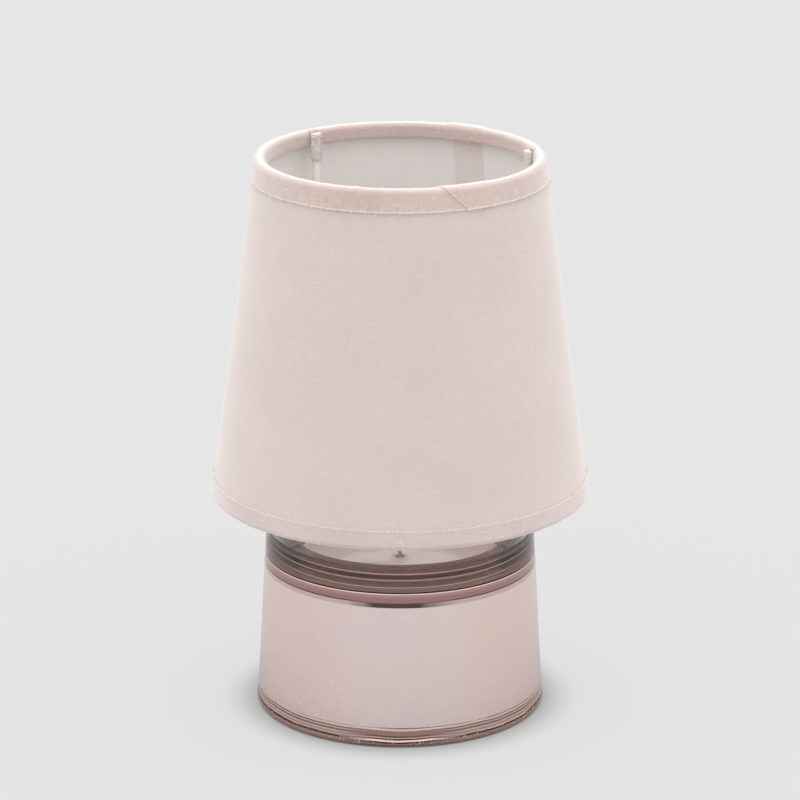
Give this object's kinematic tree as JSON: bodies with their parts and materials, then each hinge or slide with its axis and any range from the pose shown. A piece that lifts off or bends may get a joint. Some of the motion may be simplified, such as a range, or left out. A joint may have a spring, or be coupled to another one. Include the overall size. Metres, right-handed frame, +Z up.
{
  "type": "candle lamp with shade",
  "caption": "Poured candle in a thick rose-lustre glass tumbler, under a tapered fabric shade whose wire frame stands on the rim and lifts off.",
  "frame": {"origin": "middle of the tumbler's foot, on the surface that it stands on", "axes": "+Z up the candle lamp, +X to the right and -Y to the front as pictured"},
  "size_m": [0.14, 0.14, 0.209],
  "materials": {
    "lustre_glass": "gloss, rose lustre",
    "candle_wax": "satin wax",
    "wick_cotton": "waxed braid",
    "tinned_steel": "tinned",
    "coated_wire": "white powder coat",
    "shade_lining": "matte laminated",
    "shade_cloth": "plain slubbed weave",
    "shade_tape": "folded and glued"
  },
  "bodies": {
    "tumbler": {"glass_tumbler": "lustre_glass", "wax_fill": "candle_wax", "wick": "wick_cotton", "wick_tab": "tinned_steel"},
    "shade": {"top_ring": "coated_wire", "bottom_ring": "coated_wire", "seat_ring": "coated_wire", "lining": "shade_lining", "fabric_cover": "shade_cloth", "top_trim": "shade_tape", "bottom_trim": "shade_tape", "leg_1": "coated_wire", "prong_1": "coated_wire", "leg_cuff_1": "shade_tape", "leg_2": "coated_wire", "prong_2": "coated_wire", "leg_cuff_2": "shade_tape", "leg_3": "coated_wire", "prong_3": "coated_wire", "leg_cuff_3": "shade_tape"}
  },
  "joints": [
    {"name": "shade_lift", "type": "slide", "parent": "tumbler", "child": "shade", "axis": [0, 0, 1], "range_m": [0, 0.15]}
  ]
}
